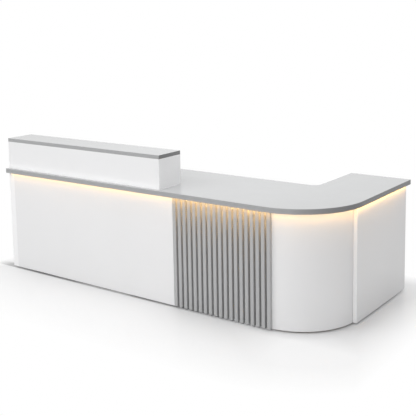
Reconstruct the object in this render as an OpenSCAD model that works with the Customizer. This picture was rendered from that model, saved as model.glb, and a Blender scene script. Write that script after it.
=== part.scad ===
// Reception desk with a raised counter, a fluted front field and a rounded corner.
// Units are millimetres, +Z is up and the public front faces -Y.
// The origin is on the floor, under the middle of the worktop's outline.

/* [Overall] */
// Length of the public front
desk_length = 2680; // [2400:10:3200]
// Depth from the public front to the end of the return
desk_depth = 1160; // [1120:10:1500]
// Depth of the main arm
main_depth = 665; // [620:5:760]
// Width of the return arm
return_width = 430; // [420:5:560]
// Height of the worktop surface
worktop_height = 760; // [720:5:820]
// Radius of the outer corner of the worktop
corner_radius = 430; // [380:5:430]
// Radius of the inner corner of the worktop
inner_radius = 60; // [30:5:100]
// Gap between the floor and the panels
base_gap = 10; // [7:1:20]

/* [Overhangs] */
// Worktop overhang at the public front
front_overhang = 27; // [25:1:40]
// Worktop overhang at the left end
left_overhang = 6; // [4:1:20]
// Worktop overhang at the right side
side_overhang = 22; // [20:1:36]
// Worktop overhang at the staff side
rear_overhang = 22; // [10:1:40]

/* [Boards] */
// Thickness of each of the two worktop boards
top_board = 16; // [14:1:22]
// Thickness of the raised counter top
counter_board = 25; // [18:1:30]
// Thickness of ordinary panels
panel_board = 18; // [16:1:22]
// Thickness of the left end gable
gable_board = 50; // [36:2:60]
// Thickness of the return side panel
side_board = 25; // [22:1:30]
// Thickness of the bent corner panel
curved_board = 12; // [9:1:16]
// Thickness of the drawer box boards
drawer_board = 12; // [10:1:15]
// Thickness of the drawer bottoms
drawer_bottom = 5; // [4:1:8]
// Size of the shadow line between the two worktop boards
joint_reveal = 1; // [0.5:0.5:2]

/* [Raised counter] */
// Height of the raised counter surface
counter_height = 985; // [940:5:1100]
// Length of the raised counter
counter_length = 1445; // [1100:5:1600]
// Depth of the raised counter
counter_depth = 222; // [200:2:300]
// Inset of the raised counter from the left end
counter_inset = 10; // [6:1:40]
// Number of bays behind the raised counter
counter_bays = 3; // [2:1:5]

/* [Fluting] */
// Number of upright ribs
flute_count = 19; // [15:1:24]
// Length of the fluted field
flute_length = 724; // [600:2:760]
// Part of the pitch that each rib takes
flute_share = 0.64; // [0.5:0.02:0.8]
// Depth of the ribs
flute_depth = 24; // [16:1:30]
// Radius on the front edges of the ribs, as far as their width and depth allow
flute_edge = 4; // [2:0.5:14]
// Length by which the fluting runs past the start of the corner
flute_lap = 30; // [10:2:60]
// Thickness of the board behind the ribs
flute_backing = 16; // [12:1:19]

/* [Lighting] */
// Width of the light channel
led_width = 16; // [14:1:18]
// Depth of the light channel
led_height = 7; // [6:1:9]
// Wall of the light channel
led_wall = 1.2; // [1:0.1:1.6]
// Distance from the worktop edge to the middle of the channel
led_inset = 12; // [11:1:14]
// Thickness of the light tape
led_tape_height = 0.8; // [0.5:0.1:1.5]
// Thickness of the diffuser
led_diffuser_height = 1.2; // [1:0.1:2]
// Distance from the ends of the worktop to the ends of the channel
led_end_margin = 30; // [20:5:80]
// Length of the driver
driver_length = 170; // [140:5:220]
// Width of the driver
driver_width = 42; // [36:2:60]
// Height of the driver
driver_height = 28; // [22:2:40]
// Diameter of the low-voltage lead
lead_diameter = 4; // [3:0.5:4.5]
// Distance from the left end to the driver
driver_place = 620; // [400:10:800]

/* [Pedestal and drawers] */
// Width of the drawer pedestal
pedestal_width = 400; // [360:10:460]
// Height of the two upper drawer fronts
small_front = 170; // [150:5:180]
// Finger gap above each drawer front and above the doors
finger_gap = 20; // [18:1:28]
// Free space between the drawer boxes and the front panel
drawer_rear_gap = 80; // [40:5:120]
// Height of the runners
runner_height = 45; // [40:1:50]
// Width of each runner
runner_width = 13; // [12.5:0.5:15]
// Sheet thickness of the runners
runner_sheet = 1.2; // [1:0.1:1.5]
// Diameter of the lock barrel
lock_diameter = 18; // [16:1:20]

/* [Return cabinet] */
// Height of the shelf in the cabinet
shelf_height = 360; // [300:10:440]
// Diameter of the shelf pins
shelf_pin = 5; // [4:1:6]
// Gap between a door and its neighbours
door_gap = 2; // [2:0.5:3]
// Height of each hinge
hinge_height = 60; // [50:5:80]
// Width of a hinge leaf
hinge_leaf = 18; // [16:1:18]
// Radius of the hinge knuckle
knuckle_radius = 3.5; // [3:0.5:3.5]
// Diameter of the hinge pin
hinge_pin = 3; // [2.5:0.5:3.5]

/* [Feet and fixings] */
// Diameter of the foot pads
foot_diameter = 24; // [20:1:36]
// Diameter of the foot stems
foot_stem = 8; // [6:1:10]
// Length of the foot stems inside the panels
stem_length = 40; // [30:1:50]
// Length of each arm of the brackets
bracket_arm = 30; // [25:1:40]
// Width of the brackets
bracket_width = 20; // [16:1:30]
// Sheet thickness of the brackets
bracket_sheet = 2; // [1.5:0.5:3]
// Diameter of the bracket screws
screw_diameter = 4; // [3:0.5:5]
// Length of the bracket screws
screw_length = 13; // [10:1:14]

/* [Hidden] */
$fn = 96;

// Clearances and cutting values
overrun = 1;
fit_gap = 0.3;
run_fit = 0.05;
slide_fit = 0.6;
knuckle_stand = 0.5;
chamber_gap = 0.15;

// Shares of other sizes
pad_share = 0.55;
third_share = 1 / 3;
arm_share = 0.6;
tape_share = 0.5;
former_share = 0.21;
corner_angle_share = 0.5;
small_box_share = 0.56;
large_box_share = 0.7;
runner_rise_share = 0.35;
lock_drop_share = 0.25;

// Small fixed details
front_margin = 1.5;
box_lift = panel_board + door_gap;
bottom_lift = 8;
runner_setback = 3;
rail_setback = 7;
rail_height = 38;
tongue_length = 32;
tongue_height = 14;
tongue_sheet = 3;
lock_collar = 2;
lock_lip = 2;
key_slot_width = 2;
key_slot_height = 9;
key_slot_depth = 3;
foot_margin = 60;
collar_radius = 7;
bracket_margin = 90;
screw_head = 4;
screw_head_height = 2.2;
pin_reach = 8;
pin_margin = 40;
shelf_setback = 20;
hinge_margin = 80;
driver_margin = 30;
driver_ear = 12;
inlet_width = 18;
inlet_height = 10;
inlet_depth = 9;
lead_bend = 6;
lead_behind = 5;

// Main planes
board_under = worktop_height - 2 * top_board;
panel_height = board_under - base_gap;
face_y = front_overhang;
rear_y = main_depth - rear_overhang;
end_y = desk_depth - rear_overhang;
left_x = left_overhang;
side_x = desk_length - side_overhang;
side_inner_x = side_x - side_board;
return_x = desk_length - return_width + rear_overhang;
corner_x = desk_length - corner_radius;
corner_y = corner_radius;
panel_rear_y = face_y + panel_board;
carcass_y = rear_y - panel_board - fit_gap;

// Fluting
flute_end_x = corner_x + flute_lap;
flute_start_x = flute_end_x - flute_length;
flute_pitch = flute_length / (flute_count - 1 + flute_share);
flute_width = flute_pitch * flute_share;
flute_nose = min(flute_edge, flute_width / 2, flute_depth / 2);
backing_y = face_y + flute_depth;

// Curved corner
curve_radius = side_inner_x - fit_gap - corner_x;
former_radius = curve_radius - curved_board - fit_gap;
former_width = former_radius * former_share;

// Light channel
channel_radius = corner_radius - led_inset;
lead_z = board_under + lead_diameter / 2 + fit_gap;
lead_drop_z = board_under - driver_height / 2;
lead_start_y = led_inset + led_width / 2 - led_wall;
lead_bend_y = panel_rear_y + lead_behind;
driver_y = lead_bend_y + driver_margin;

// Raised counter
counter_panel_top = counter_height - counter_board;
counter_panel_height = counter_panel_top - worktop_height;
counter_right_x = counter_inset + counter_length;
bay_pitch = (counter_length - panel_board) / counter_bays;

// Pedestal
pedestal_right_x = flute_start_x;
pedestal_left_x = pedestal_right_x - pedestal_width;
pedestal_inner_left_x = pedestal_left_x + panel_board;
pedestal_inner_right_x = pedestal_right_x - panel_board;
front_left_x = pedestal_left_x + front_margin;
front_width = pedestal_width - 2 * front_margin;
front_back_y = rear_y - panel_board;
top_front_z = board_under - finger_gap - small_front;
middle_front_z = top_front_z - finger_gap - small_front;
bottom_front_z = base_gap + door_gap;
bottom_front_height = middle_front_z - finger_gap - bottom_front_z;
box_left_x = pedestal_inner_left_x + runner_width;
box_right_x = pedestal_inner_right_x - runner_width;
box_back_y = panel_rear_y + drawer_rear_gap;
drawer_depth = front_back_y - box_back_y;
small_box_height = small_front * small_box_share;
large_box_height = bottom_front_height * large_box_share;
lock_x = (pedestal_left_x + pedestal_right_x) / 2;
lock_z = top_front_z + small_front * (1 - lock_drop_share);
rail_y = carcass_y - rail_setback - panel_board;
tongue_y = rail_y - lock_collar - tongue_sheet;

// Return cabinet
cabinet_end_y = end_y - panel_board;
cabinet_span = cabinet_end_y - rear_y;
door_width = (cabinet_span - 3 * door_gap) / 2;
door_bottom_z = base_gap + door_gap;
door_top_z = board_under - finger_gap;
door_height = door_top_z - door_bottom_z;
hinge_x = return_x - knuckle_radius - knuckle_stand;
hinge_a_y = rear_y + door_gap / 2;
hinge_b_y = cabinet_end_y - door_gap / 2;
hinge_sheet = (door_gap - fit_gap) / 2;
hinge_heights = [door_bottom_z + hinge_margin, door_top_z - hinge_margin - hinge_height];
shelf_front_x = return_x + panel_board + shelf_setback;
pin_places = [
    [shelf_front_x + pin_margin, rear_y, -1],
    [side_inner_x - pin_margin, rear_y, -1],
    [shelf_front_x + pin_margin, cabinet_end_y, 1],
    [side_inner_x - pin_margin, cabinet_end_y, 1]
];

// Feet
former_middle = former_radius - former_width / 2;
corner_foot_angle = 90 * corner_angle_share;
foot_left_x = left_x + gable_board / 2;
foot_ped_left_x = pedestal_left_x + panel_board / 2;
foot_ped_right_x = pedestal_right_x - panel_board / 2;
foot_front_y = panel_rear_y + foot_margin;
foot_rear_y = rear_y - panel_board - foot_margin;
foot_return_x = return_x + foot_margin;
foot_corner_x = corner_x + former_middle * cos(corner_foot_angle);
foot_corner_y = corner_y - former_middle * sin(corner_foot_angle);

// Brackets as face position, middle along Y and the side on which they stand
bracket_front_y = panel_rear_y + bracket_margin;
bracket_rear_y = rear_y - panel_board - bracket_margin;
bracket_places = [
    [left_x + gable_board, bracket_front_y, 1],
    [left_x + gable_board, bracket_rear_y, 1],
    [pedestal_left_x, bracket_front_y, -1],
    [pedestal_left_x, bracket_rear_y, -1],
    [pedestal_right_x, bracket_front_y, 1],
    [pedestal_right_x, bracket_rear_y, 1],
    [side_inner_x, rear_y + bracket_margin, -1],
    [side_inner_x, cabinet_end_y - bracket_margin, -1]
];
driver_screw_places = [
    [driver_place, driver_y + driver_ear / 2],
    [driver_place, driver_y + driver_length - driver_ear / 2]
];

// Outline of a worktop board, drawn in from the full outline by the inset
module worktop_outline(inset) {
    inner_x = desk_length - return_width + inset;
    inner_y = main_depth - inset;
    difference() {
        union() {
            translate([inset, inset])
                square([corner_x - inset, main_depth - 2 * inset]);
            translate([inner_x, corner_y])
                square([return_width - 2 * inset, desk_depth - corner_y - inset]);
            translate([corner_x, corner_y])
                square([corner_radius - inset, main_depth - corner_y - inset]);
            intersection() {
                translate([corner_x, corner_y])
                    circle(r = corner_radius - inset);
                translate([corner_x - overrun, 0])
                    square([corner_radius + overrun, corner_radius + overrun]);
            }
            translate([inner_x - inner_radius, inner_y - overrun])
                square([inner_radius + overrun, inner_radius + overrun]);
        }
        translate([inner_x - inner_radius, inner_y + inner_radius])
            circle(r = inner_radius);
    }
}

// Line of the light channel as three runs that follow the worktop edge
module light_line(width, joint) {
    translate([led_end_margin, led_inset - width / 2])
        square([corner_x - led_end_margin - joint, width]);
    translate([corner_x, corner_y])
        intersection() {
            difference() {
                circle(r = channel_radius + width / 2);
                circle(r = channel_radius - width / 2);
            }
            translate([joint, -corner_radius])
                square([corner_radius, corner_radius - joint]);
        }
    translate([desk_length - led_inset - width / 2, corner_y + joint])
        square([width, desk_depth - led_end_margin - corner_y - joint]);
}

// Bores for the screws that hold the brackets and the driver
module screw_bore() {
    translate([0, 0, -overrun])
        cylinder(d = screw_diameter + 2 * run_fit, h = screw_length + overrun);
}

module at_upright_screws() {
    for (place = bracket_places)
        translate([place[0] + place[2] * bracket_arm * arm_share, place[1],
            board_under - bracket_sheet])
            children();
    for (place = driver_screw_places)
        translate([place[0], place[1], board_under - bracket_sheet])
            children();
}

module at_side_screws() {
    for (place = bracket_places)
        translate([place[0] + place[2] * bracket_sheet, place[1],
            board_under - bracket_arm * arm_share])
            rotate([0, -90 * place[2], 0])
                children();
}

module upright_bores() {
    at_upright_screws()
        screw_bore();
}

module side_bores() {
    at_side_screws()
        screw_bore();
}

module foot_bore(x, y) {
    translate([x, y, base_gap - overrun])
        cylinder(d = foot_stem + 2 * run_fit, h = stem_length + 2 * overrun);
}

module panel(x, y, z, width, depth, height) {
    translate([x, y, z])
        cube([width, depth, height]);
}

// Worktop
module worktop_upper_board() {
    color("#b9babb")
        union() {
            translate([0, 0, board_under + top_board + joint_reveal])
                linear_extrude(height = top_board - joint_reveal)
                    worktop_outline(0);
            translate([0, 0, board_under + top_board])
                linear_extrude(height = joint_reveal)
                    worktop_outline(joint_reveal);
        }
}

module worktop_lower_board() {
    color("#a9aaab")
        difference() {
            translate([0, 0, board_under])
                linear_extrude(height = top_board)
                    worktop_outline(0);
            translate([0, 0, board_under - overrun])
                linear_extrude(height = led_height + fit_gap + overrun)
                    light_line(led_width + 2 * fit_gap, 0);
            panel(corner_x - overrun, led_inset - led_width / 2 - fit_gap, board_under - overrun,
                2 * overrun, led_width + 2 * fit_gap, led_height + fit_gap + overrun);
            panel(driver_place - lead_diameter / 2 - fit_gap, led_inset, board_under - overrun,
                lead_diameter + 2 * fit_gap,
                lead_bend_y + lead_bend + lead_diameter - led_inset,
                lead_diameter + 2 * fit_gap + overrun);
            upright_bores();
        }
}

// Raised counter
module counter_front() {
    color("#ececec")
        panel(counter_inset, face_y, worktop_height,
            counter_length, panel_board, counter_panel_height);
}

module counter_end(x) {
    color("#ececec")
        panel(x, panel_rear_y, worktop_height,
            panel_board, counter_depth - panel_board, counter_panel_height);
}

module counter_left_end() {
    counter_end(counter_inset);
}

module counter_right_end() {
    counter_end(counter_right_x - panel_board);
}

module counter_dividers() {
    for (i = [1 : counter_bays - 1])
        counter_end(counter_inset + i * bay_pitch);
}

module counter_top() {
    color("#b9babb")
        panel(counter_inset, face_y, counter_panel_top,
            counter_length, counter_depth, counter_board);
}

// Public front
module left_gable() {
    color("#f0f0f0")
        difference() {
            panel(left_x, face_y, base_gap, gable_board, rear_y - face_y, panel_height);
            foot_bore(foot_left_x, foot_front_y);
            foot_bore(foot_left_x, foot_rear_y);
            side_bores();
        }
}

module front_panel() {
    color("#ececec")
        panel(left_x + gable_board, face_y, base_gap,
            flute_start_x - left_x - gable_board, panel_board, panel_height);
}

module flute_backing_board() {
    color("#8f9091")
        panel(flute_start_x, backing_y, base_gap, flute_length, flute_backing, panel_height);
}

module rib_outline() {
    translate([0, flute_nose])
        square([flute_width, flute_depth - flute_nose]);
    translate([flute_nose, 0])
        square([flute_width - 2 * flute_nose, flute_nose + overrun]);
    for (x = [flute_nose, flute_width - flute_nose])
        translate([x, flute_nose])
            circle(r = flute_nose);
}

module flute_ribs() {
    color("#b0b1b2")
        for (i = [0 : flute_count - 1])
            translate([flute_start_x + i * flute_pitch, face_y, base_gap])
                linear_extrude(height = panel_height)
                    rib_outline();
}

module corner_ring(outer, inner) {
    translate([corner_x, corner_y])
        intersection() {
            difference() {
                circle(r = outer);
                circle(r = inner);
            }
            translate([flute_lap, -outer - overrun])
                square([outer, outer + overrun]);
        }
}

module curved_corner_panel() {
    color("#e4e4e4")
        translate([0, 0, base_gap])
            linear_extrude(height = panel_height)
                corner_ring(curve_radius, curve_radius - curved_board);
}

module corner_formers() {
    color("#c9b28c")
        difference() {
            for (z = [base_gap, board_under - panel_board])
                translate([0, 0, z])
                    linear_extrude(height = panel_board)
                        corner_ring(former_radius, former_radius - former_width);
            foot_bore(foot_corner_x, foot_corner_y);
        }
}

// Return
module return_side_panel() {
    color("#e2e2e2")
        difference() {
            panel(side_inner_x, corner_y - flute_lap, base_gap,
                side_board, end_y - corner_y + flute_lap, panel_height);
            side_bores();
        }
}

module return_gable(y, foot_y) {
    color("#e6e6e6")
        difference() {
            panel(return_x, y, base_gap, side_inner_x - return_x, panel_board, panel_height);
            foot_bore(foot_return_x, foot_y);
            shelf_pin_bores();
        }
}

module return_inner_gable() {
    return_gable(rear_y - panel_board, rear_y - panel_board / 2);
}

module return_end_gable() {
    return_gable(cabinet_end_y, end_y - panel_board / 2);
}

module return_bottom_board() {
    color("#e6e6e6")
        panel(return_x + panel_board + door_gap, rear_y, base_gap,
            side_inner_x - return_x - panel_board - door_gap, cabinet_span, panel_board);
}

module return_shelf() {
    color("#e6e6e6")
        panel(shelf_front_x, rear_y + fit_gap, shelf_height,
            side_inner_x - fit_gap - shelf_front_x, cabinet_span - 2 * fit_gap, panel_board);
}

module shelf_pin_rod(place, extra) {
    translate([place[0], place[1] + place[2] * pin_reach, shelf_height - shelf_pin / 2 - fit_gap])
        rotate([90 * place[2], 0, 0])
            cylinder(d = shelf_pin + extra, h = 2 * pin_reach);
}

module shelf_pin_bores() {
    for (place = pin_places)
        shelf_pin_rod(place, 2 * run_fit);
}

module shelf_pins() {
    color("#c4c6c8")
        for (place = pin_places)
            shelf_pin_rod(place, 0);
}

module return_door(y) {
    color("#ececec")
        panel(return_x, y, door_bottom_z, panel_board, door_width, door_height);
}

module return_door_a() {
    return_door(rear_y + door_gap);
}

module return_door_b() {
    return_door(cabinet_end_y - door_gap - door_width);
}

// Hinge leaf around an upright axis at the origin, with its plate along +X
module hinge_leaf_shape(way, knuckles) {
    plate_y = way > 0 ? door_gap / 2 - hinge_sheet : -door_gap / 2;
    step = hinge_height * third_share;
    difference() {
        union() {
            panel(knuckle_radius + fit_gap, plate_y, 0,
                hinge_leaf - knuckle_radius - fit_gap, hinge_sheet, hinge_height);
            for (k = knuckles) {
                translate([0, 0, k * step + fit_gap / 2])
                    cylinder(r = knuckle_radius, h = step - fit_gap);
                panel(0, plate_y, k * step + fit_gap / 2,
                    knuckle_radius + 2 * fit_gap, hinge_sheet, step - fit_gap);
            }
        }
        translate([0, 0, -overrun])
            cylinder(d = hinge_pin + 2 * run_fit, h = hinge_height + 2 * overrun);
    }
}

module hinge_leaves(y, way, knuckles) {
    color("#b8babd")
        for (z = hinge_heights)
            translate([hinge_x, y, z])
                hinge_leaf_shape(way, knuckles);
}

module cabinet_hinge_leaves() {
    hinge_leaves(hinge_a_y, -1, [0, 2]);
    hinge_leaves(hinge_b_y, 1, [0, 2]);
}

module door_a_hinge_leaves() {
    hinge_leaves(hinge_a_y, 1, [1]);
}

module door_b_hinge_leaves() {
    hinge_leaves(hinge_b_y, -1, [1]);
}

module hinge_pins() {
    color("#9fa1a4")
        for (y = [hinge_a_y, hinge_b_y])
            for (z = hinge_heights)
                translate([hinge_x, y, z])
                    cylinder(d = hinge_pin, h = hinge_height);
}

// Lighting
module led_channels() {
    color("#c9cbcd")
        difference() {
            translate([0, 0, board_under])
                linear_extrude(height = led_height)
                    light_line(led_width, chamber_gap);
            translate([0, 0, board_under - overrun])
                linear_extrude(height = led_height - led_wall + overrun)
                    light_line(led_width - 2 * led_wall, 0);
            panel(corner_x - overrun, led_inset - led_width / 2 + led_wall, board_under - overrun,
                2 * overrun, led_width - 2 * led_wall, led_height - led_wall + overrun);
            translate([driver_place, led_inset, lead_z])
                rotate([-90, 0, 0])
                    cylinder(d = lead_diameter + 2 * run_fit, h = led_width);
        }
}

module led_tapes() {
    color("#e9d9a8")
        translate([0, 0, board_under + led_height - led_wall - led_tape_height])
            linear_extrude(height = led_tape_height)
                light_line(led_width * tape_share, chamber_gap);
}

module led_diffusers() {
    color("#fff4d8")
        translate([0, 0, board_under])
            linear_extrude(height = led_diffuser_height)
                light_line(led_width - 2 * led_wall - 2 * chamber_gap, chamber_gap);
}

module led_driver() {
    color("#dcdcdc")
        difference() {
            union() {
                panel(driver_place - driver_width / 2, driver_y + driver_ear,
                    board_under - driver_height,
                    driver_width, driver_length - 2 * driver_ear, driver_height);
                panel(driver_place - driver_width / 2, driver_y, board_under - bracket_sheet,
                    driver_width, driver_length, bracket_sheet);
            }
            upright_bores();
            panel(driver_place - inlet_width / 2,
                driver_y + driver_length - driver_ear - inlet_depth,
                lead_drop_z - inlet_height / 2,
                inlet_width, inlet_depth + overrun, inlet_height);
        }
}

module lead_run(y, z, length, tilt) {
    translate([driver_place, y, z])
        rotate([tilt, 0, 0])
            cylinder(d = lead_diameter, h = length);
}

module lead_elbow() {
    rotate([90, 0, -90])
        rotate_extrude(angle = 90)
            translate([lead_bend, 0])
                circle(d = lead_diameter);
}

module led_lead() {
    drop = lead_z - lead_drop_z - 2 * lead_bend;
    exit_y = lead_bend_y + 2 * lead_bend;
    color("#2b2b2b")
        union() {
            lead_run(lead_start_y, lead_z, lead_bend_y - lead_start_y, -90);
            translate([driver_place, lead_bend_y, lead_z - lead_bend])
                mirror([0, 1, 0])
                    lead_elbow();
            lead_run(lead_bend_y + lead_bend, lead_drop_z + lead_bend, drop, 0);
            translate([driver_place, exit_y, lead_drop_z + lead_bend])
                mirror([0, 0, 1])
                    lead_elbow();
            lead_run(exit_y, lead_drop_z, driver_y + driver_ear - exit_y, -90);
        }
}

// Pedestal
module pedestal_gable(x, foot_x) {
    color("#e6e6e6")
        difference() {
            panel(x, panel_rear_y, base_gap, panel_board, carcass_y - panel_rear_y, panel_height);
            foot_bore(foot_x, foot_front_y);
            foot_bore(foot_x, foot_rear_y);
            side_bores();
        }
}

module pedestal_left_gable() {
    pedestal_gable(pedestal_left_x, foot_ped_left_x);
}

module pedestal_right_gable() {
    pedestal_gable(pedestal_inner_right_x, foot_ped_right_x);
}

module pedestal_bottom_board() {
    color("#e6e6e6")
        panel(pedestal_inner_left_x, panel_rear_y, base_gap,
            pedestal_inner_right_x - pedestal_inner_left_x, carcass_y - panel_rear_y, panel_board);
}

module pedestal_lock_rail() {
    color("#e6e6e6")
        panel(pedestal_inner_left_x, rail_y, board_under - rail_height,
            pedestal_inner_right_x - pedestal_inner_left_x, panel_board, rail_height);
}

module drawer_front(z, height) {
    color("#ececec")
        panel(front_left_x, front_back_y, z, front_width, panel_board, height);
}

module drawer_front_top() {
    difference() {
        drawer_front(top_front_z, small_front);
        translate([lock_x, front_back_y - overrun, lock_z])
            rotate([-90, 0, 0])
                cylinder(d = lock_diameter + 2 * run_fit, h = panel_board + 2 * overrun);
    }
}

module drawer_front_middle() {
    drawer_front(middle_front_z, small_front);
}

module drawer_front_bottom() {
    drawer_front(bottom_front_z, bottom_front_height);
}

module drawer_box(front_z, height) {
    z = front_z + box_lift;
    inner_left = box_left_x + drawer_board + fit_gap;
    inner_width = box_right_x - drawer_board - fit_gap - inner_left;
    bottom_y = box_back_y + drawer_board + fit_gap;
    bottom_depth = front_back_y - drawer_board - fit_gap - bottom_y;
    color("#dadbdc") {
        panel(box_left_x, box_back_y, z, drawer_board, drawer_depth, height);
        panel(box_right_x - drawer_board, box_back_y, z, drawer_board, drawer_depth, height);
        panel(inner_left, box_back_y, z, inner_width, drawer_board, height);
        panel(inner_left, front_back_y - drawer_board, z, inner_width, drawer_board, height);
        panel(inner_left, bottom_y, z + bottom_lift, inner_width, bottom_depth, drawer_bottom);
    }
}

module drawer_box_top() {
    drawer_box(top_front_z, small_box_height);
}

module drawer_box_middle() {
    drawer_box(middle_front_z, small_box_height);
}

module drawer_box_bottom() {
    drawer_box(bottom_front_z, large_box_height);
}

// Runners, with sections drawn away from the left gable
module runner_channel(web, open_edge, height, length, web_far) {
    web_start = web_far ? open_edge - runner_sheet : web;
    translate([0, 0, -height / 2]) {
        panel(web_start, 0, 0, runner_sheet, length, height);
        panel(web, 0, 0, open_edge - web, length, runner_sheet);
        panel(web, 0, height - runner_sheet, open_edge - web, length, runner_sheet);
    }
}

module runner_pair(front_z, height, member) {
    step = runner_sheet + slide_fit;
    z = front_z + box_lift + height * runner_rise_share;
    length = drawer_depth - runner_setback;
    open_edge = runner_width - step;
    color("#a8aaad")
        for (side = [0, 1])
            translate([side ? pedestal_inner_right_x : pedestal_inner_left_x, box_back_y, z])
                mirror([side, 0, 0]) {
                    if (member == 0)
                        runner_channel(0, open_edge, runner_height, length, false);
                    if (member == 1)
                        runner_channel(step, open_edge, runner_height - 2 * step, length, false);
                    if (member == 2)
                        runner_channel(2 * step, runner_width, runner_height - 4 * step, length, true);
                }
}

module runner_cabinet_members() {
    runner_pair(top_front_z, small_box_height, 0);
    runner_pair(middle_front_z, small_box_height, 0);
    runner_pair(bottom_front_z, large_box_height, 0);
}

module runner_middle_top() {
    runner_pair(top_front_z, small_box_height, 1);
}

module runner_middle_middle() {
    runner_pair(middle_front_z, small_box_height, 1);
}

module runner_middle_bottom() {
    runner_pair(bottom_front_z, large_box_height, 1);
}

module runner_drawer_top() {
    runner_pair(top_front_z, small_box_height, 2);
}

module runner_drawer_middle() {
    runner_pair(middle_front_z, small_box_height, 2);
}

module runner_drawer_bottom() {
    runner_pair(bottom_front_z, large_box_height, 2);
}

module drawer_lock() {
    color("#c4c6c8")
        difference() {
            union() {
                translate([lock_x, tongue_y, lock_z])
                    rotate([-90, 0, 0])
                        cylinder(d = lock_diameter, h = rear_y + lock_lip - tongue_y);
                translate([lock_x, rear_y + fit_gap, lock_z])
                    rotate([-90, 0, 0])
                        cylinder(d = lock_diameter + 2 * lock_collar, h = lock_lip - fit_gap);
                panel(lock_x, tongue_y, lock_z - tongue_height / 2,
                    tongue_length, tongue_sheet, tongue_height);
            }
            panel(lock_x - key_slot_width / 2, rear_y + lock_lip - key_slot_depth,
                lock_z - key_slot_height / 2,
                key_slot_width, key_slot_depth + overrun, key_slot_height);
        }
}

// Levelling feet
module levelling_foot(x, y) {
    pad_height = base_gap * pad_share;
    color("#4a4b4d")
        translate([x, y, 0])
            union() {
                cylinder(d = foot_diameter, h = pad_height);
                cylinder(r = collar_radius, h = base_gap - fit_gap, $fn = 6);
                cylinder(d = foot_stem, h = base_gap + stem_length);
            }
}

module foot_left_front() {
    levelling_foot(foot_left_x, foot_front_y);
}

module foot_left_rear() {
    levelling_foot(foot_left_x, foot_rear_y);
}

module foot_pedestal_left_front() {
    levelling_foot(foot_ped_left_x, foot_front_y);
}

module foot_pedestal_left_rear() {
    levelling_foot(foot_ped_left_x, foot_rear_y);
}

module foot_pedestal_right_front() {
    levelling_foot(foot_ped_right_x, foot_front_y);
}

module foot_pedestal_right_rear() {
    levelling_foot(foot_ped_right_x, foot_rear_y);
}

module foot_corner() {
    levelling_foot(foot_corner_x, foot_corner_y);
}

module foot_return_inner() {
    levelling_foot(foot_return_x, rear_y - panel_board / 2);
}

module foot_return_end() {
    levelling_foot(foot_return_x, end_y - panel_board / 2);
}

// Fixings
module worktop_bracket(x, y, way) {
    translate([x, y - bracket_width / 2, board_under])
        mirror([way < 0 ? 1 : 0, 0, 0])
            union() {
                panel(0, 0, -bracket_sheet, bracket_arm, bracket_width, bracket_sheet);
                panel(0, 0, -bracket_arm, bracket_sheet, bracket_width, bracket_arm);
            }
}

module worktop_brackets() {
    color("#b8babd")
        difference() {
            for (place = bracket_places)
                worktop_bracket(place[0], place[1], place[2]);
            upright_bores();
            side_bores();
        }
}

module screw_with_head() {
    cylinder(d = screw_diameter, h = screw_length);
    translate([0, 0, -screw_head_height])
        cylinder(r = screw_head, h = screw_head_height);
}

module bracket_screws() {
    color("#9fa1a4") {
        at_upright_screws()
            screw_with_head();
        at_side_screws()
            screw_with_head();
    }
}

// Placement about the middle of the worktop's outline
module placed() {
    translate([-desk_length / 2, -desk_depth / 2, 0])
        children();
}

placed() worktop_upper_board();
placed() worktop_lower_board();
placed() counter_front();
placed() counter_left_end();
placed() counter_right_end();
placed() counter_dividers();
placed() counter_top();
placed() left_gable();
placed() front_panel();
placed() flute_backing_board();
placed() flute_ribs();
placed() curved_corner_panel();
placed() corner_formers();
placed() return_side_panel();
placed() return_inner_gable();
placed() return_end_gable();
placed() return_bottom_board();
placed() return_shelf();
placed() shelf_pins();
placed() return_door_a();
placed() return_door_b();
placed() cabinet_hinge_leaves();
placed() door_a_hinge_leaves();
placed() door_b_hinge_leaves();
placed() hinge_pins();
placed() led_channels();
placed() led_tapes();
placed() led_diffusers();
placed() led_driver();
placed() led_lead();
placed() pedestal_left_gable();
placed() pedestal_right_gable();
placed() pedestal_bottom_board();
placed() pedestal_lock_rail();
placed() drawer_front_top();
placed() drawer_front_middle();
placed() drawer_front_bottom();
placed() drawer_box_top();
placed() drawer_box_middle();
placed() drawer_box_bottom();
placed() runner_cabinet_members();
placed() runner_middle_top();
placed() runner_middle_middle();
placed() runner_middle_bottom();
placed() runner_drawer_top();
placed() runner_drawer_middle();
placed() runner_drawer_bottom();
placed() drawer_lock();
placed() foot_left_front();
placed() foot_left_rear();
placed() foot_pedestal_left_front();
placed() foot_pedestal_left_rear();
placed() foot_pedestal_right_front();
placed() foot_pedestal_right_rear();
placed() foot_corner();
placed() foot_return_inner();
placed() foot_return_end();
placed() worktop_brackets();
placed() bracket_screws();
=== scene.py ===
import math

import bpy
from mathutils import Matrix, Vector


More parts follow.
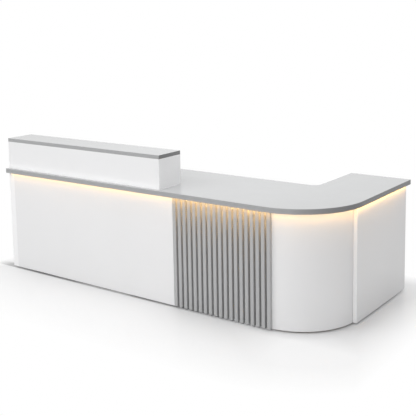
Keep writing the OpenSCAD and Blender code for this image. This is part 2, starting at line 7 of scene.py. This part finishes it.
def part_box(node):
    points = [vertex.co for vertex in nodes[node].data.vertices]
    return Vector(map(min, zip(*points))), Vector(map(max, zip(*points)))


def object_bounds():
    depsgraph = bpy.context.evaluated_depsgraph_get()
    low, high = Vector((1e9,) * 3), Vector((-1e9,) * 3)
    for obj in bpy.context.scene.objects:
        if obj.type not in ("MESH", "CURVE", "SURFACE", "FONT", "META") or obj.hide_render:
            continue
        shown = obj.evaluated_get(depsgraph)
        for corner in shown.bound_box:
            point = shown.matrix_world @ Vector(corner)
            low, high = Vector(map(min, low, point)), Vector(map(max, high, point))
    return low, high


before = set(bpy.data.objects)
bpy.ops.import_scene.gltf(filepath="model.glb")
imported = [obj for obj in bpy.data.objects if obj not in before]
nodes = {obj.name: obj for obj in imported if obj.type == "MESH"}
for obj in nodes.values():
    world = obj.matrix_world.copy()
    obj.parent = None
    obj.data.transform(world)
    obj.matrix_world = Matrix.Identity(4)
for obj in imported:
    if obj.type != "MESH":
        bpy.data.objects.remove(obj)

# Looks of a reception desk: gloss white panels, a grey worktop and fluting, and warm light under the
# worktop edge. Lengths are metres, angles are degrees and the power of a lamp is in watts. Only the
# camera's lens and sensor are in millimetres. Materials are procedural and follow each piece as it moves.

cad_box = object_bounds()

# Camera: its place, its turn about the upright, how far it looks below the level, its roll and its lens
CAMERA_PLACE = (3.3239, -4.4087, 1.8648)
CAMERA_TURN = 36.138
CAMERA_DROP = 7.829
CAMERA_ROLL = -0.989
CAMERA_LENS = 69.083
CAMERA_SHIFT = -0.2
SENSOR_WIDTH = 36.0

# The tilt at which a camera looks level
LEVEL_TILT = 90.0

# Studio
WORLD_WHITE = (1.0, 1.0, 1.0, 1.0)
FILL_STRENGTH = 0.58
BACKGROUND_STRENGTH = 1.0
FLOOR_SIZE = 90.0
FLOOR_COLOUR = (0.79, 0.79, 0.795)
FLOOR_ROUGHNESS = 0.22
FLOOR_SPECULAR = 0.25

# The shade on the floor: the round corners of the desk's outline, where the shade starts and ends in
# its distance from that outline, and how far it reaches past the right end, the left end and the back
CORNER_ROUND = 0.38
SHADE_START = -0.04
SHADE_REACH = 0.70
RIGHT_REACH = 0.36
LEFT_REACH = 0.2
BACK_REACH = 0.28

# In front of the round corner the shade is paler: how much of it is left out, and the places where
# that starts and is full
CORNER_SHARE = 0.58
CORNER_ASIDE = (0.55, 1.1)
CORNER_BEHIND = (-0.35, -0.6)
CORNER_OUTSIDE = (-0.04, 0.04)

# Painted shade in the floor's colour right under the front panel, from just before its face, which fades
# along the desk
CONTACT_SHARE = 0.3
CONTACT_BEFORE = 0.012
CONTACT_DEPTH = 0.04
CONTACT_SOFT = 0.006
CONTACT_END = 0.75

# Lamps of the studio: name, place, the point that it faces, width and height, and power
STUDIO_LAMPS = (
    ("key_light", (-3.2, -4.0, 4.6), (0.0, 0.0, 0.4), (3.0, 3.0), 110.0),
    ("low_light", (2.0, -5.2, 2.8), (0.3, 0.0, 0.3), (4.0, 2.0), 61.0),
    ("top_light", (0.6, -0.4, 3.0), (0.1, 0.0, 0.7), (1.5, 1.5), 26.0),
    ("back_light", (1.0, 1.5, 2.4), (0.1, -0.2, 0.8), (1.5, 1.2), 8.0),
)

# Light of the tape behind the diffusers, which isn't even: each pair is a place along the desk and a
# strength there
GLOW_COLOUR = (1.0, 0.54, 0.11)
GLOW_STEPS = (
    (0.18, 6.5),
    (0.24, 10.0),
    (0.90, 10.0),
    (1.02, 11.0),
    (1.25, 11.0),
    (1.31, 12.5),
    (1.326, 19.5),
)

# Light of the tape that falls into the grooves. Each lamp has a name, a power and the spread of its beam
GROOVE_LIGHT_COLOUR = (1.0, 0.62, 0.25)
GROOVE_LIGHT_DEPTH = 0.016
GROOVE_LIGHT_DROP = 0.0006
GROOVE_LAMPS = (("groove_light", 0.5, 180.0), ("groove_beam", 1.3, 22.0))

# Light from the worktop's ledge: its lamp lies before the raised front and over the ledge, and aims at
# the front a little higher up
LEDGE_LIGHT_POWER = 0.06
LEDGE_LIGHT_DEPTH = 0.01
LEDGE_LIGHT_STANDOFF = 0.022
LEDGE_LIGHT_LIFT = 0.006
LEDGE_LIGHT_RISE = 0.03

# Colours of the finishes
PANEL_WHITE = (0.81, 0.81, 0.815)
# Whiter colour for narrow panel edges: a painted highlight where they catch the light
EDGE_HIGHLIGHT_WHITE = (0.90, 0.90, 0.905)
WORKTOP_GREY = (0.46, 0.465, 0.47)
WORKTOP_EDGE_GREY = (0.36, 0.363, 0.367)
RIB_GREY = (0.43, 0.433, 0.437)
BACKING_GREY = (0.20, 0.203, 0.207)
PLYWOOD_TAN = (0.60, 0.46, 0.30)
CARCASS_WHITE = (0.78, 0.78, 0.78)
DRAWER_GREY = (0.68, 0.685, 0.69)
STEEL_GREY = (0.62, 0.63, 0.64)
ZINC_GREY = (0.55, 0.56, 0.58)
ANODISED_GREY = (0.66, 0.67, 0.68)
TAPE_CREAM = (0.82, 0.78, 0.62)
PAD_COPPER = (0.62, 0.36, 0.14)
FROST_DEEP = (0.93, 0.86, 0.72)
FROST_PALE = (0.97, 0.92, 0.82)
DRIVER_WHITE = (0.74, 0.74, 0.735)
SHEATH_BLACK = (0.025, 0.025, 0.026)
CHROME_GREY = (0.76, 0.76, 0.77)
FOOT_BLACK = (0.045, 0.045, 0.047)

# Upright panels whose narrow front and back edges are painted whiter: a painted highlight where they catch
# the light
EDGE_HIGHLIGHT_PANELS = ("left_gable", "return_side_panel")

# Share of the edge colour that is left on edges that face along the desk: painted shade that darkens them
PAINTED_END_SHADE_SHARE = 0.5

# Cells to the metre in each direction, of marks that are even or drawn out along one of them
EVEN_MARKS = (60.0, 60.0, 60.0)
DRAWN_MARKS = (160.0, 5.0, 160.0)
UPRIGHT_STROKES = (420.0, 420.0, 9.0)
LONG_GRAIN = (7.0, 90.0, 90.0)

# The stretch of a noise's values that is used
NOISE_START = 0.3
NOISE_END = 0.7

# Samples of the rounded normal, and how well it agrees with the true one at an edge and on a flat face
EDGE_SAMPLES = 4
EDGE_AGREEMENT = 0.80
FLAT_AGREEMENT = 0.99

# Sockets of the mix node that stand for the colour mix
MIX_FACTOR = 0
MIX_FIRST = 6
MIX_SECOND = 7
MIX_RESULT = 2


class Finish:
    """A procedural material: one Principled shader, and short calls for the nodes that vary it."""

    def __init__(self, name, roughness, metallic=0.0):
        self.material = bpy.data.materials.new(name)
        self.material.use_nodes = True
        self.tree = self.material.node_tree
        self.shader = self.tree.nodes["Principled BSDF"]
        self.shader.inputs["Metallic"].default_value = metallic
        self.shader.inputs["Roughness"].default_value = roughness
        self.place = self.node("ShaderNodeTexCoord").outputs["Object"]

    def node(self, kind, **settings):
        made = self.tree.nodes.new(kind)
        for key, value in settings.items():
            setattr(made, key, value)
        return made

    def link(self, source, target):
        self.tree.links.new(source, target)

    def set(self, node, **values):
        for key, value in values.items():
            node.inputs[key.replace("_", " ")].default_value = value

    def compute(self, operation, first, second=None):
        """One step of arithmetic on a socket, with a second socket or number where it takes two."""
        made = self.node("ShaderNodeMath", operation=operation)
        self.link(first, made.inputs[0])
        if isinstance(second, bpy.types.NodeSocket):
            self.link(second, made.inputs[1])
        elif second is not None:
            made.inputs[1].default_value = second
        return made.outputs[0]

    def times(self, first, second):
        return self.compute("MULTIPLY", first, second)

    def largest(self, first, *others):
        total = first
        for value in others:
            total = self.compute("MAXIMUM", total, value)
        return total

    def stretched(self, stretch):
        mapping = self.node("ShaderNodeMapping")
        self.link(self.place, mapping.inputs["Vector"])
        mapping.inputs["Scale"].default_value = stretch
        return mapping.outputs["Vector"]

    def noise(self, scale, detail, stretch=None):
        """Soft noise from 0 to 1. Its cells to the metre are scale, times stretch in each direction."""
        made = self.node("ShaderNodeTexNoise")
        self.set(made, Scale=scale, Detail=detail)
        self.link(self.stretched(stretch) if stretch else self.place, made.inputs["Vector"])
        return made.outputs["Fac"]

    def cells(self, scale):
        made = self.node("ShaderNodeTexVoronoi")
        self.set(made, Scale=scale)
        self.link(self.place, made.inputs["Vector"])
        return made.outputs["Distance"]

    def ranged(self, value, low, high, start=NOISE_START, end=NOISE_END):
        """value from start to end becomes low to high, held at both ends."""
        made = self.node("ShaderNodeMapRange")
        self.link(value, made.inputs["Value"])
        self.set(made, From_Min=start, From_Max=end, To_Min=low, To_Max=high)
        return made.outputs["Result"]

    def clouds(self, scale, detail, low=0.0, high=1.0):
        return self.ranged(self.noise(scale, detail), low, high)

    def along(self, axis):
        split = self.node("ShaderNodeSeparateXYZ")
        self.link(self.place, split.inputs[0])
        return split.outputs[axis]

    def facing(self, axis, start=0.4, end=0.6):
        """1 where the surface faces along that axis and 0 where it faces across it."""
        split = self.node("ShaderNodeSeparateXYZ")
        self.link(self.node("ShaderNodeTexCoord").outputs["Normal"], split.inputs[0])
        return self.ranged(self.compute("ABSOLUTE", split.outputs[axis]), 0.0, 1.0, start, end)

    def stepped(self, value, steps):
        """Straight stretches between pairs of a place and a value, held at both ends."""
        total = None
        for (start, low), (end, high) in zip(steps, steps[1:]):
            if total is None:
                total = self.ranged(value, low, high, start, end)
            else:
                total = self.compute("ADD", total, self.ranged(value, 0.0, high - low, start, end))
        return total

    def mixed(self, factor, first, second):
        """first where factor is 0 and second where it is 1. Each is a socket or a colour."""
        made = self.node("ShaderNodeMix", data_type="RGBA")
        self.link(factor, made.inputs[MIX_FACTOR])
        for number, value in ((MIX_FIRST, first), (MIX_SECOND, second)):
            if isinstance(value, bpy.types.NodeSocket):
                self.link(value, made.inputs[number])
            else:
                made.inputs[number].default_value = (*value, 1.0)
        return made.outputs[MIX_RESULT]

    def edges(self, radius):
        """1 along sharp edges and 0 elsewhere, from how far the rounded normal leans from the true one."""
        rounded = self.node("ShaderNodeBevel", samples=EDGE_SAMPLES)
        rounded.inputs["Radius"].default_value = radius
        true = self.node("ShaderNodeNewGeometry").outputs["True Normal"]
        product = self.node("ShaderNodeVectorMath", operation="DOT_PRODUCT")
        self.link(rounded.outputs["Normal"], product.inputs[0])
        self.link(true, product.inputs[1])
        return self.ranged(product.outputs["Value"], 1.0, 0.0, EDGE_AGREEMENT, FLAT_AGREEMENT)

    def colour(self, value):
        self.link(value, self.shader.inputs["Base Color"])

    def roughness(self, value):
        self.link(value, self.shader.inputs["Roughness"])

    def relief(self, height, distance):
        """Fine relief, as deep as that distance in metres."""
        bump = self.node("ShaderNodeBump")
        self.set(bump, Strength=1.0, Distance=distance)
        self.link(height, bump.inputs["Height"])
        self.link(bump.outputs["Normal"], self.shader.inputs["Normal"])


def scaled(colour, factor):
    return tuple(min(1.0, channel * factor) for channel in colour)


def lacquer(name, colour, edge_highlight_colour=None):
    """Gloss lacquer on board: a faint mottle, orange peel and painted highlights that lighten its edges.
    """
    made = Finish(name, roughness=0.1)
    mottle = made.clouds(scale=1.7, detail=4.0)
    tone = made.mixed(mottle, scaled(colour, factor=0.985), colour)
    # With a highlight colour, the narrow edges facing front and back are painted whiter: a painted
    # highlight
    if edge_highlight_colour:
        tone = made.mixed(made.facing("Y"), tone, edge_highlight_colour)
    # Sharp edges are painted lighter: a painted highlight in place of rounded edges catching the light
    made.colour(made.mixed(made.edges(radius=0.0012), tone, scaled(colour, factor=1.05)))
    made.roughness(made.clouds(scale=9.0, detail=3.0, low=0.07, high=0.13))
    made.relief(made.noise(scale=240.0, detail=1.0), distance=0.00002)
    return made.material


def laminate(name, colour, edge_colour):
    """Grey laminate: fine speckle on the faces, a darker edge band, and painted shade on the end edges."""
    made = Finish(name, roughness=0.16)
    mottle = made.clouds(scale=2.3, detail=4.0)
    tone = made.mixed(mottle, scaled(colour, factor=0.97), colour)
    speckle = made.ranged(made.noise(scale=1400.0, detail=1.0), low=0.0, high=0.35, start=0.52, end=0.75)
    face = made.mixed(speckle, tone, scaled(colour, factor=0.86))
    # The edge band is painted darker where it faces along the desk: painted shade
    painted_end_shade = made.facing("X", start=0.35, end=1.0)
    edge = made.mixed(painted_end_shade, edge_colour, scaled(edge_colour, PAINTED_END_SHADE_SHARE))
    made.colour(made.mixed(made.facing("Z"), edge, face))
    made.roughness(made.clouds(scale=7.0, detail=3.0, low=0.11, high=0.19))
    made.relief(made.noise(scale=900.0, detail=1.0), distance=0.00002)
    return made.material


def matt_lacquer(name, colour):
    """Matt lacquer over machined wood, with faint upright strokes."""
    made = Finish(name, roughness=0.45)
    stroke = made.noise(scale=1.0, detail=3.0, stretch=UPRIGHT_STROKES)
    cloud = made.clouds(scale=3.0, detail=3.0)
    tone = made.mixed(cloud, scaled(colour, factor=0.95), colour)
    streaked = made.mixed(made.ranged(stroke, low=0.0, high=0.5), tone, scaled(colour, factor=1.08))
    # Sharp edges are painted lighter: a painted highlight in place of rounded edges catching the light
    made.colour(made.mixed(made.edges(radius=0.001), streaked, scaled(colour, factor=1.15)))
    made.roughness(made.clouds(scale=40.0, detail=2.0, low=0.36, high=0.5))
    made.relief(stroke, distance=0.00006)
    return made.material


def melamine(name, colour):
    """Melamine-faced board with a fine pearl texture and a plain edge band."""
    made = Finish(name, roughness=0.4)
    cloud = made.clouds(scale=4.0, detail=3.0)
    tone = made.mixed(cloud, scaled(colour, factor=0.97), colour)
    made.colour(made.mixed(made.edges(radius=0.0008), tone, scaled(colour, factor=0.88)))
    made.roughness(made.clouds(scale=30.0, detail=2.0, low=0.34, high=0.46))
    made.relief(made.cells(scale=900.0), distance=0.00004)
    return made.material


def plywood(name, colour):
    """Plywood: plies across the thickness and a long open grain on the faces."""
    made = Finish(name, roughness=0.6)
    grain = made.noise(scale=1.0, detail=6.0, stretch=LONG_GRAIN)
    plies = made.node("ShaderNodeTexWave", bands_direction="Z")
    made.link(made.place, plies.inputs["Vector"])
    made.set(plies, Scale=88.0, Distortion=0.6)
    tone = made.mixed(made.ranged(grain, low=0.0, high=1.0), scaled(colour, factor=0.8), colour)
    ply = made.ranged(plies.outputs["Fac"], low=0.0, high=0.35)
    made.colour(made.mixed(ply, tone, scaled(colour, factor=0.55)))
    made.roughness(made.ranged(grain, low=0.5, high=0.7))
    made.relief(grain, distance=0.0002)
    return made.material


def metal(name, colour, low, high, stretch=EVEN_MARKS):
    """Metal with fine marks. Its roughness goes from low to high with them."""
    made = Finish(name, roughness=low, metallic=1.0)
    marks = made.noise(scale=1.0, detail=3.0, stretch=stretch)
    tone = made.mixed(made.ranged(marks, low=0.0, high=1.0), scaled(colour, factor=0.88), colour)
    # Sharp edges are painted lighter: a painted highlight in place of rounded edges catching the light
    made.colour(made.mixed(made.edges(radius=0.0005), tone, scaled(colour, factor=1.2)))
    made.roughness(made.ranged(marks, low, high))
    made.relief(marks, distance=0.00002)
    return made.material


def plastic(name, colour, low, high):
    """Moulded plastic with a spark-eroded grain. Its roughness goes from low to high."""
    made = Finish(name, roughness=low)
    cloud = made.clouds(scale=25.0, detail=3.0)
    tone = made.mixed(cloud, scaled(colour, factor=0.9), colour)
    # Sharp edges are painted lighter: a painted highlight in place of rounded edges catching the light
    made.colour(made.mixed(made.edges(radius=0.0006), tone, scaled(colour, factor=1.25)))
    made.roughness(made.clouds(scale=300.0, detail=2.0, low=low, high=high))
    made.relief(made.noise(scale=1600.0, detail=1.0), distance=0.00003)
    return made.material


def light_tape(name, colour, pad_colour):
    """Flexible circuit: a pale ribbon with copper pads."""
    made = Finish(name, roughness=0.5)
    pads = made.node("ShaderNodeTexChecker")
    made.link(made.place, pads.inputs["Vector"])
    made.set(pads, Scale=180.0)
    tone = made.mixed(made.clouds(scale=220.0, detail=1.0), scaled(colour, factor=0.9), colour)
    made.colour(made.mixed(pads.outputs["Fac"], tone, pad_colour))
    made.relief(made.noise(scale=800.0, detail=1.0), distance=0.00005)
    return made.material


def diffuser(name, deep_colour, pale_colour):
    """Frosted strip that glows warm."""
    made = Finish(name, roughness=0.55)
    made.colour(made.mixed(made.noise(scale=180.0, detail=1.0), deep_colour, pale_colour))
    frost = made.clouds(scale=70.0, detail=1.0)
    glow = made.mixed(frost, GLOW_COLOUR, scaled(GLOW_COLOUR, factor=0.93))
    made.link(glow, made.shader.inputs["Emission Color"])
    made.link(made.stepped(made.along("X"), GLOW_STEPS), made.shader.inputs["Emission Strength"])
    made.relief(made.noise(scale=1200.0, detail=1.0), distance=0.00003)
    return made.material


def make_finishes():
    """A finish for each material slot, and a lacquer whose narrow edges carry a painted highlight."""
    return {
        "white_lacquer": lacquer("white_lacquer", PANEL_WHITE),
        # Lacquer whose narrow front and back edges are painted whiter: a painted highlight
        "edge_highlight_lacquer": lacquer("edge_highlight_lacquer", PANEL_WHITE, EDGE_HIGHLIGHT_WHITE),
        "grey_laminate": laminate("grey_laminate", WORKTOP_GREY, WORKTOP_EDGE_GREY),
        "grey_fluting": matt_lacquer("grey_fluting", RIB_GREY),
        "dark_backing": matt_lacquer("dark_backing", BACKING_GREY),
        "raw_board": plywood("raw_board", PLYWOOD_TAN),
        "white_melamine": melamine("white_melamine", CARCASS_WHITE),
        "drawer_board": melamine("drawer_board", DRAWER_GREY),
        "steel": metal("steel", STEEL_GREY, low=0.22, high=0.34),
        "zinc_steel": metal("zinc_steel", ZINC_GREY, low=0.3, high=0.44, stretch=DRAWN_MARKS),
        "anodised": metal("anodised", ANODISED_GREY, low=0.34, high=0.46),
        "tape": light_tape("tape", TAPE_CREAM, PAD_COPPER),
        "diffuser": diffuser("diffuser", FROST_DEEP, FROST_PALE),
        "driver_case": plastic("driver_case", DRIVER_WHITE, low=0.4, high=0.55),
        "lead_sheath": plastic("lead_sheath", SHEATH_BLACK, low=0.4, high=0.55),
        "lock_chrome": metal("lock_chrome", CHROME_GREY, low=0.1, high=0.2),
        "foot_black": plastic("foot_black", FOOT_BLACK, low=0.45, high=0.6),
    }


def dress_nodes(finishes):
    """Each CAD node takes the finish that has the name of the slot it came with."""
    for piece in nodes.values():
        slot = piece.data.materials[0].name
        piece.data.materials[0] = finishes[slot]
    # Panels whose narrow edges carry a painted highlight take that lacquer instead
    for name in EDGE_HIGHLIGHT_PANELS:
        nodes[name].data.materials[0] = finishes["edge_highlight_lacquer"]


def rotation(degrees, axis):
    return Matrix.Rotation(math.radians(degrees), 4, axis)


def make_camera():
    data = bpy.data.cameras.new("camera")
    data.sensor_width = SENSOR_WIDTH
    data.lens = CAMERA_LENS
    data.shift_y = CAMERA_SHIFT
    camera = bpy.data.objects.new("camera", data)
    bpy.context.scene.collection.objects.link(camera)
    turn = rotation(CAMERA_TURN, "Z")
    drop = rotation(LEVEL_TILT - CAMERA_DROP, "X")
    roll = rotation(CAMERA_ROLL, "Z")
    camera.matrix_world = Matrix.Translation(CAMERA_PLACE) @ turn @ drop @ roll
    bpy.context.scene.camera = camera


def seen_directly(tree):
    """1 for rays that show a surface straight, by reflection or through glass, and 0 for other rays."""
    path = tree.nodes.new("ShaderNodeLightPath")
    total = path.outputs["Is Camera Ray"]
    for name in ("Is Glossy Ray", "Is Transmission Ray"):
        larger = tree.nodes.new("ShaderNodeMath")
        larger.operation = "MAXIMUM"
        tree.links.new(total, larger.inputs[0])
        tree.links.new(path.outputs[name], larger.inputs[1])
        total = larger.outputs[0]
    return total


def make_world():
    """White where it is seen, and a softer even fill where it only lights the desk."""
    world = bpy.data.worlds.new("studio")
    world.use_nodes = True
    tree = world.node_tree
    fill = tree.nodes["Background"]
    fill.inputs["Color"].default_value = WORLD_WHITE
    fill.inputs["Strength"].default_value = FILL_STRENGTH
    white = tree.nodes.new("ShaderNodeBackground")
    white.inputs["Strength"].default_value = BACKGROUND_STRENGTH
    white.inputs["Color"].default_value = WORLD_WHITE
    blend = tree.nodes.new("ShaderNodeMixShader")
    tree.links.new(seen_directly(tree), blend.inputs[0])
    tree.links.new(fill.outputs[0], blend.inputs[1])
    tree.links.new(white.outputs[0], blend.inputs[2])
    tree.links.new(blend.outputs[0], tree.nodes["World Output"].inputs["Surface"])
    bpy.context.scene.world = world


def outside_distance(made, half_length, half_depth):
    """Distance on the floor from the desk's outline, taken as a rectangle with round corners."""
    value = made.place
    inner = (half_length - CORNER_ROUND, half_depth - CORNER_ROUND, 0.0)
    for operation, operand in (("ABSOLUTE", None), ("SUBTRACT", inner), ("MAXIMUM", (0.0, 0.0, 0.0))):
        step = made.node("ShaderNodeVectorMath", operation=operation)
        made.link(value, step.inputs[0])
        if operand:
            step.inputs[1].default_value = operand
        value = step.outputs["Vector"]
    length = made.node("ShaderNodeVectorMath", operation="LENGTH")
    made.link(value, length.inputs[0])
    return made.compute("SUBTRACT", length.outputs["Value"], CORNER_ROUND)


def contact_shade(made, aside, behind):
    """1 in the gap under the front panel, where painted shade darkens the floor, and 0 on the open floor.
    """
    low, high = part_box("front_panel")
    start, end = low[1] - CONTACT_BEFORE, low[1] + CONTACT_DEPTH
    begun = made.ranged(behind, 0.0, 1.0, start, start + CONTACT_SOFT)
    ended = made.ranged(behind, 1.0, 0.0, end, end + CONTACT_DEPTH)
    along_desk = made.ranged(aside, 1.0, 0.0, low[0], CONTACT_END)
    return made.times(made.times(begun, ended), along_desk)


def open_floor(made, aside, behind):
    """0 in the desk's shade and 1 on the open floor past it."""
    half_length, half_depth = cad_box[1][0], cad_box[1][1]
    right = made.ranged(aside, 0.0, 1.0, half_length, half_length + RIGHT_REACH)
    left = made.ranged(aside, 1.0, 0.0, -half_length - LEFT_REACH, -half_length)
    back = made.ranged(behind, 0.0, 1.0, half_depth, half_depth + BACK_REACH)
    outside = outside_distance(made, half_length, half_depth)
    around = made.ranged(outside, 0.0, 1.0, SHADE_START, SHADE_REACH)
    corner = made.ranged(aside, 0.0, CORNER_SHARE, *CORNER_ASIDE)
    corner = made.times(corner, made.ranged(behind, 0.0, 1.0, *CORNER_BEHIND))
    corner = made.times(corner, made.ranged(outside, 0.0, 1.0, *CORNER_OUTSIDE))
    return made.largest(right, left, back, around, corner)


def make_floor():
    """Pale floor that keeps the desk's shadow and runs out into the white background."""
    half = FLOOR_SIZE / 2
    mesh = bpy.data.meshes.new("studio_floor")
    corners = [(-half, -half, 0), (half, -half, 0), (half, half, 0), (-half, half, 0)]
    mesh.from_pydata(corners, [], [(0, 1, 2, 3)])
    floor = bpy.data.objects.new("studio_floor", mesh)
    bpy.context.scene.collection.objects.link(floor)
    made = Finish("studio_floor", roughness=FLOOR_ROUGHNESS)
    made.shader.inputs["Specular IOR Level"].default_value = FLOOR_SPECULAR
    aside, behind = made.along("X"), made.along("Y")
    shade = contact_shade(made, aside, behind)
    # The floor's colour is darkened under the front panel: painted shade
    made.colour(made.mixed(shade, FLOOR_COLOUR, scaled(FLOOR_COLOUR, CONTACT_SHARE)))
    shown = made.times(open_floor(made, aside, behind), seen_directly(made.tree))
    white = made.node("ShaderNodeEmission")
    white.inputs["Strength"].default_value = BACKGROUND_STRENGTH
    blend = made.node("ShaderNodeMixShader")
    made.link(shown, blend.inputs[0])
    made.link(made.shader.outputs[0], blend.inputs[1])
    made.link(white.outputs[0], blend.inputs[2])
    made.link(blend.outputs[0], made.tree.nodes["Material Output"].inputs["Surface"])
    mesh.materials.append(made.material)
    return floor


def area_light(name, place, aim, size, power):
    data = bpy.data.lights.new(name, "AREA")
    data.shape = "RECTANGLE"
    data.size, data.size_y = size
    data.energy = power
    lamp = bpy.data.objects.new(name, data)
    lamp.location = place
    lamp.rotation_euler = (Vector(aim) - Vector(place)).to_track_quat("-Z", "Y").to_euler()
    bpy.context.scene.collection.objects.link(lamp)
    return lamp


def limit_reach(lamp, pieces, state="INCLUDE"):
    """Keeps the light of a lamp, or of a piece that glows, on those pieces or, with EXCLUDE, off them."""
    group = bpy.data.collections.new(lamp.name + "_reach")
    for piece in pieces:
        group.objects.link(piece)
    for entry in group.collection_objects:
        entry.light_linking.link_state = state
    lamp.light_linking.receiver_collection = group


def make_groove_lights():
    """Light of the tape that falls between the ribs from above, where the worktop covers the grooves."""
    low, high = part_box("flute_ribs")
    middle_x, middle_y = (low[0] + high[0]) / 2, high[1] - GROOVE_LIGHT_DEPTH / 2
    place = (middle_x, middle_y, high[2] - GROOVE_LIGHT_DROP)
    aim = (middle_x, middle_y, low[2])
    size = (high[0] - low[0], GROOVE_LIGHT_DEPTH)
    for name, power, spread in GROOVE_LAMPS:
        lamp = area_light(name, place, aim, size, power)
        lamp.data.color = GROOVE_LIGHT_COLOUR
        lamp.data.spread = math.radians(spread)
        limit_reach(lamp, [nodes["flute_ribs"], nodes["flute_backing_board"]])


def make_ledge_light():
    """Light that the narrow ledge of the worktop throws back onto the raised front above it."""
    low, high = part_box("counter_front")
    worktop_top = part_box("worktop_upper_board")[1][2]
    place = ((low[0] + high[0]) / 2, low[1] - LEDGE_LIGHT_STANDOFF, worktop_top + LEDGE_LIGHT_LIFT)
    aim = (place[0], low[1], worktop_top + LEDGE_LIGHT_RISE)
    size = (high[0] - low[0], LEDGE_LIGHT_DEPTH)
    lamp = area_light("ledge_light", place, aim, size, LEDGE_LIGHT_POWER)
    lamp.visible_camera = False
    lamp.visible_glossy = False
    limit_reach(lamp, [nodes["counter_front"]])


def make_lights():
    for name, place, aim, size, power in STUDIO_LAMPS:
        area_light(name, place, aim, size, power)
    make_groove_lights()
    make_ledge_light()


make_camera()
make_world()
floor = make_floor()
make_lights()
limit_reach(nodes["led_diffusers"], [floor], "EXCLUDE")
dress_nodes(make_finishes())
bpy.context.scene.view_settings.view_transform = "Standard"
